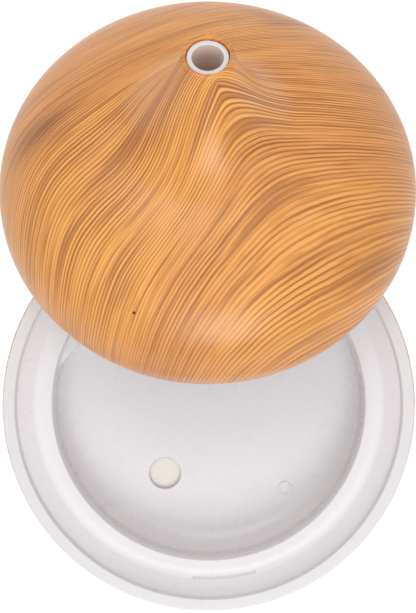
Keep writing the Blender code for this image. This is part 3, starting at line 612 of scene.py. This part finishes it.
def make_cover_ring():
    """The white ring inside the cover's rim, which reaches a little below it."""
    rim_z = -COVER_RIM_DEPTH
    lip_z = rim_z - RING_LIP
    outer = [(rim_radius(-z) - COVER_WALL - RING_GAP, z) for z in (-5, -7.5, -10, -12, rim_z)]
    inner = [(r - RING_WALL, z) for r, z in outer[::-1]]
    outer_r, inner_r = outer[-1][0], inner[0][0]
    edge = fillet([(outer_r, rim_z, 0), (outer_r, lip_z, 0.4), (inner_r, lip_z, 0.4),
                   (inner_r, rim_z, 0)], 4)
    ring = turned("cover_ring_smooth", outer[:-1] + edge + inner[1:], COVER_PLACE, WHITE)
    finish_piece(ring, "cover", "cover_ring")


def make_nozzle():
    line = fillet([
        (NOZZLE_BORE, 61, 0), (NOZZLE_BORE, NOZZLE_TOP, 0.35), (7.3, NOZZLE_TOP, 0.3), (7.3, 62, 0.6),
        (8.2, 54, 3), (11.5, 44, 2), (15, 41.5, 0.4), (15, 40, 0.4), (11, 40.2, 1.5), (6.8, 53, 4),
        (NOZZLE_BORE, 60, 0)], 5)
    nozzle = turned("mist_nozzle_smooth", line, COVER_PLACE, WHITE, COIN_STEPS)
    # The faces inside the bore get the painted shade material.
    nozzle.data.materials.append(BORE_SHADE.material)
    for face in nozzle.data.polygons:
        centre = (COVER_UPRIGHT @ face.center) / MM
        in_bore = math.hypot(centre.x, centre.y) < NOZZLE_BORE + 0.4
        face.material_index = int(in_bore and centre.z < NOZZLE_TOP - 0.6)
    finish_piece(nozzle, "cover", "mist_nozzle")


# ---------------------------------------------------------------- the base

def tank_line():
    """The tank's upper surface from the middle of the floor out to the edge of its flange."""
    return fillet([
        (0, FLOOR_Z, 0), (30, FLOOR_Z, 0), (63.6, FLOOR_Z, 13), (65.0, 38.9, 0.8), (68.6, 39.6, 5),
        (71.9, 39.3, 4), (78.6, 44.3, 0.5), (79.0, 46.9, 0.2), (79.3, RIM_Z, 0.3),
        (FLANGE_RADIUS - 0.3, RIM_Z, 0.3), (FLANGE_RADIUS, RIM_Z - 0.4, 0),
        (FLANGE_RADIUS, RIM_Z - FLANGE_DEPTH, 0)], 8)


def make_tank():
    upper = tank_line()
    under = offset(upper[:-2], TANK_WALL)
    under[0] = (0, FLOOR_Z - TANK_WALL)
    line = upper + [(81.0, RIM_Z - FLANGE_DEPTH)] + [p for p in under[::-1] if p[0] < 80.6]
    tank = turned("water_tank_smooth", line, look=TANK)
    carve(tank, [air_duct()], "UNION")
    seat = upright_rod("seat", DISC_SEAT_RADIUS, 12, FLOOR_Z - 0.8, *DISC_CENTRE)
    carve(tank, [duct_slot(), seat, disc_hole(), locating_groove()])
    carve(tank, [moulded_mark()], "UNION")
    finish_piece(tank, "base", "water_tank", angle=28)


def air_duct():
    """The block that fills the tank's side behind a flat wall."""
    duct = turned("duct", fillet([(0, DUCT_TOP, 0), (65.2, DUCT_TOP, 0.5), (65.6, 17.5, 0), (0, 17.5, 0)], 3))
    slab = block("slab", (DUCT_FACE, -45, 10), (80, 45, 60), Matrix.Rotation(DUCT_AZIMUTH, 4, "Z"), 1.2)
    carve(duct, [slab], "INTERSECT")
    return duct


def duct_slot():
    """The opening in the top of the air duct."""
    start, end = DUCT_SLOT_ENDS
    low, high = (DUCT_FACE + TANK_WALL, start, 14), (62.6, end, 42)
    return block("slot", low, high, Matrix.Rotation(DUCT_AZIMUTH, 4, "Z"), 1.2)


def disc_hole():
    """The flared hole in the floor over the ultrasonic disc."""
    line = [(0, 22), (9, 22), (DISC_HOLE_RADIUS + 0.5, FLOOR_Z + 0.2), (DISC_HOLE_RADIUS, FLOOR_Z - 0.5),
            (DISC_HOLE_RADIUS, 15), (0, 15)]
    return turned("hole", line, DISC_PLACE, steps=COIN_STEPS)


def locating_groove():
    """A short arc sunk in the shoulder, at the front."""
    curve = bpy.data.curves.new("groove", "CURVE")
    curve.dimensions = "3D"
    curve.bevel_depth = 0.65 * MM
    curve.bevel_resolution = 3
    curve.use_fill_caps = True
    count = 24
    spline = curve.splines.new("POLY")
    spline.points.add(count - 1)
    start, end = GROOVE_ENDS
    for i, point in enumerate(spline.points):
        angle = math.radians(start + (end - start) * i / (count - 1))
        x, y = GROOVE_RADIUS * math.cos(angle), GROOVE_RADIUS * math.sin(angle)
        point.co = (x * MM, y * MM, GROOVE_Z * MM, 1)
    source = bpy.data.objects.new("groove", curve)
    bpy.context.scene.collection.objects.link(source)
    bpy.context.view_layer.update()
    mesh = bpy.data.meshes.new_from_object(source.evaluated_get(bpy.context.evaluated_depsgraph_get()))
    bpy.data.objects.remove(source)
    return add("groove_cutter", mesh)


def moulded_mark():
    """A low round pip with a raised edge, in the floor."""
    line = fillet([
        (0, FLOOR_Z + 0.25, 0), (1.9, FLOOR_Z + 0.25, 0), (2.3, FLOOR_Z + 0.7, 0.2),
        (2.9, FLOOR_Z + 0.7, 0.2), (3.3, FLOOR_Z - 0.3, 0), (0, FLOOR_Z - 0.3, 0)], 4)
    return turned("mark", line, placed(*MARK_CENTRE, 0), steps=SMALL_STEPS)


def casing_radius(z):
    depth = (RIM_Z - z) / RIM_Z
    bulge = (1 - min(depth, 1) ** 2.2) ** 0.6
    return CASING_FOOT_RADIUS + (CASING_RADIUS - CASING_FOOT_RADIUS) * bulge


def make_casing():
    heights = [CASING_TOP - 0.4 - (CASING_TOP - 1.0) * i / 30 for i in range(31)]
    top_edge = [(84.0, CASING_TOP), (84.28, CASING_TOP - 0.12)]
    outside = [(casing_radius(z), z) for z in heights if z > 1.0]
    foot = [(64.5, 0.6), (63.2, 0.32), (61.2, 0.3)]
    rabbet = [(60.1, 0.3), (60.1, 2.7), (58.6, 2.7), (58.6, 4.3)]
    inside = [(casing_radius(z) - CASING_WALL, z) for z in (5, 7, 10, 14, 18, 24, 30, 38, CASING_TOP)]
    casing = turned("base_shell_grained", top_edge + outside + foot + rabbet + inside, look=WOOD_BASE)
    bosses = [level_rod(f"boss_{side}", 2.2, -77.2, -72.1, side * BOSS_X, BUTTON_Z, steps=20)
              for side in (-1, 1)]
    bosses.append(level_rod("jack_boss", 7, 75.4, 80.6, 0, JACK_Z))
    carve(casing, bosses, "UNION")
    holes = [level_rod(f"hole_{side}", 4.4, -86, -74, side * BUTTON_X, BUTTON_Z) for side in (-1, 1)]
    holes.append(level_rod("jack_seat", 6, 80.6, 86, 0, JACK_Z))
    holes.append(level_rod("jack_hole", 4.2, 74, 86, 0, JACK_Z))
    carve(casing, holes)
    finish_piece(casing, "base", "base_shell", angle=30)


def make_buttons():
    line = fillet([
        (0, 0, 0), (2.2, -0.05, 1.0), (4.0, -0.5, 0.9), (4.0, -6.5, 0), (5.4, -6.5, 0),
        (5.4, -7.7, 0), (0, -7.7, 0)], 6)
    for name, x in (("mist_button", -BUTTON_X), ("light_button", BUTTON_X)):
        cap = turned(f"{name}_smooth", line, placed(x, -82.8, BUTTON_Z, tip=90), WHITE, SMALL_STEPS)
        finish_piece(cap, name, name)


def make_feet():
    line = fillet([(0, 0.3, 0), (6.0, 0.3, 0), (6.0, -2.0, 0.6), (4.9, -2.0, 0.3), (4.4, -1.6, 0.2),
                   (0, -1.6, 0)], 4)
    for i in range(1, 5):
        low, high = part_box(f"rubber_foot_{i}")
        middle = (low + high) / 2
        place = Matrix.Translation((middle.x, middle.y, 0))
        foot = turned(f"rubber_foot_{i}_smooth", line, place, RUBBER, SMALL_STEPS)
        finish_piece(foot, "base", f"rubber_foot_{i}")


def make_jack():
    line = fillet([
        (2.8, 0, 0), (5.4, 0, 0.4), (5.4, -1.2, 0.2), (3.9, -1.2, 0), (3.9, -11.5, 0), (0.9, -11.5, 0),
        (0.9, -10, 0), (2.8, -10, 0)], 4)
    jack = turned("power_jack_smooth", line, placed(0, 82.1, JACK_Z, tip=-90), BLACK, SMALL_STEPS)
    finish_piece(jack, "base", "power_jack")


def make_disc():
    line = fillet([(0, 16.6, 0), (9.4, 16.6, 0.2), (9.6, 16.4, 0.1), (9.6, 15.8, 0), (0, 15.8, 0)], 3)
    disc = turned("ultrasonic_disc_smooth", line, DISC_PLACE, CERAMIC, COIN_STEPS)
    finish_piece(disc, "base", "ultrasonic_disc")


# ---------------------------------------------------------------- camera and light

# The camera looks straight down. Its lens is set by its height over the rim, the scale there and
# the image's height, which its sensor's size lies along.
CAMERA_X, CAMERA_Y = -0.3, 40.2
CAMERA_HEIGHT = 450.0
IMAGE_HEIGHT = 613
PIXELS_PER_MM = 2.456
SENSOR_SIZE = 36.0

FLOOR_GREY = 0.10
FLOOR_GLOW = 0.95
FLOOR_HALF_SIZE_M = 30.0

# The studio's brightness at the horizon and overhead, and how high up a unit direction it is full
SKY_LOW, SKY_HIGH = 0.42, 0.79
SKY_TOP = 0.8
LIGHTS_TARGET = (0, 45, 60)


def make_camera():
    camera = bpy.data.objects.new("camera", bpy.data.cameras.new("camera"))
    bpy.context.scene.collection.objects.link(camera)
    camera.location = Vector((CAMERA_X, CAMERA_Y, RIM_Z + CAMERA_HEIGHT)) * MM
    camera.data.sensor_width = SENSOR_SIZE
    camera.data.lens = CAMERA_HEIGHT * PIXELS_PER_MM / IMAGE_HEIGHT * SENSOR_SIZE
    camera.data.clip_start = 0.01
    camera.data.clip_end = 100.0
    bpy.context.scene.camera = camera


def make_floor():
    shape = bmesh.new()
    bmesh.ops.create_grid(shape, x_segments=1, y_segments=1, size=FLOOR_HALF_SIZE_M)
    s = Shader("floor_white", roughness=0.9)
    s.colour((FLOOR_GREY, FLOOR_GREY, FLOOR_GREY))
    s.set(emission_color=(1, 1, 1, 1), emission_strength=FLOOR_GLOW)
    add("floor", shape, Matrix.Translation((0, 0, cad_low.z)), s)


def make_studio():
    """An even white surrounding that is brighter overhead."""
    world = bpy.data.worlds.new("studio")
    bpy.context.scene.world = world
    world.use_nodes = True
    tree = world.node_tree
    background = tree.nodes["Background"]
    background.inputs["Color"].default_value = (1.0, 1.0, 1.0, 1)
    direction = tree.nodes.new("ShaderNodeTexCoord")
    height = tree.nodes.new("ShaderNodeSeparateXYZ")
    tree.links.new(direction.outputs["Generated"], height.inputs[0])
    fade = tree.nodes.new("ShaderNodeMapRange")
    ends = {"From Min": 0.0, "From Max": SKY_TOP, "To Min": SKY_LOW, "To Max": SKY_HIGH}
    for name, number in ends.items():
        fade.inputs[name].default_value = number
    tree.links.new(height.outputs["Z"], fade.inputs["Value"])
    tree.links.new(fade.outputs[0], background.inputs["Strength"])
    bpy.context.scene.view_settings.view_transform = "Standard"


def softbox(name, direction, distance, size, power):
    """A square light at a distance in metres from the object, turned towards it."""
    light = bpy.data.lights.new(name, "AREA")
    light.shape = "SQUARE"
    light.size = size
    light.energy = power
    thing = bpy.data.objects.new(name, light)
    bpy.context.scene.collection.objects.link(thing)
    toward = Vector(direction).normalized()
    thing.location = Vector(LIGHTS_TARGET) * MM + toward * distance
    thing.rotation_euler = toward.to_track_quat("Z", "Y").to_euler()


dress_cad_nodes()
make_cover_shell()
make_cover_ring()
make_nozzle()
make_tank()
make_casing()
make_buttons()
make_feet()
make_jack()
make_disc()
make_camera()
make_floor()
make_studio()
softbox("front_softbox", (0.10, -0.70, 0.70), distance=1.0, size=0.50, power=3.8)
softbox("top_softbox", (-0.15, 0.60, 0.80), distance=1.3, size=0.8, power=3.6)
